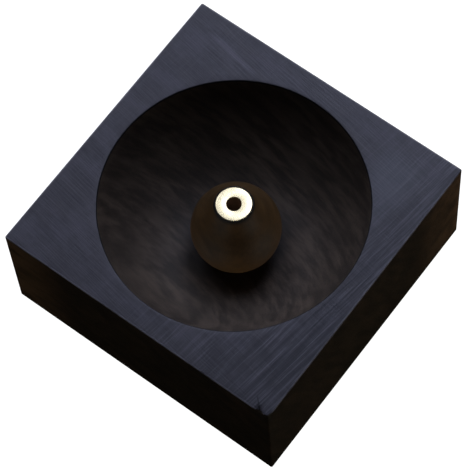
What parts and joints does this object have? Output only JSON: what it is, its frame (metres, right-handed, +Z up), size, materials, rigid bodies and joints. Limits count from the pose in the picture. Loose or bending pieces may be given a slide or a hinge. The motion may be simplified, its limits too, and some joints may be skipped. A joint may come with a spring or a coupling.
{
  "type": "incense stick holder",
  "caption": "Square dark hardwood block with a turned bowl and a lift-out turned ball whose brass ferrule holds an upright stick over the ash bowl.",
  "frame": {"origin": "on the resting plane under the feet, below the middle of the block, which is the bottom centre of the bounding box", "axes": "+Z up along the axis of the bowl, ball, pin and ferrule; X and Y square to the sides of the block, with -Y its front"},
  "size_m": [0.07, 0.07, 0.0327],
  "materials": {
    "ebony": "near-black hardwood, finely sanded and waxed to a satin sheen, with straight grain",
    "brown_hardwood": "dark brown hardwood, turned smooth and waxed",
    "brass": "pale brass, turned and polished",
    "rubber": "matt black moulded rubber"
  },
  "bodies": {
    "base": {"base_block": "ebony", "centre_pin": "brass", "foot_front_right": "rubber", "foot_back_right": "rubber", "foot_back_left": "rubber", "foot_front_left": "rubber"},
    "ball": {"holder_ball": "brown_hardwood", "stick_ferrule": "brass"}
  },
  "joints": [
    {"name": "ball_lift", "type": "slide", "parent": "base", "child": "ball", "axis": [0, 0, 1], "range_m": [0, 0.04]}
  ]
}
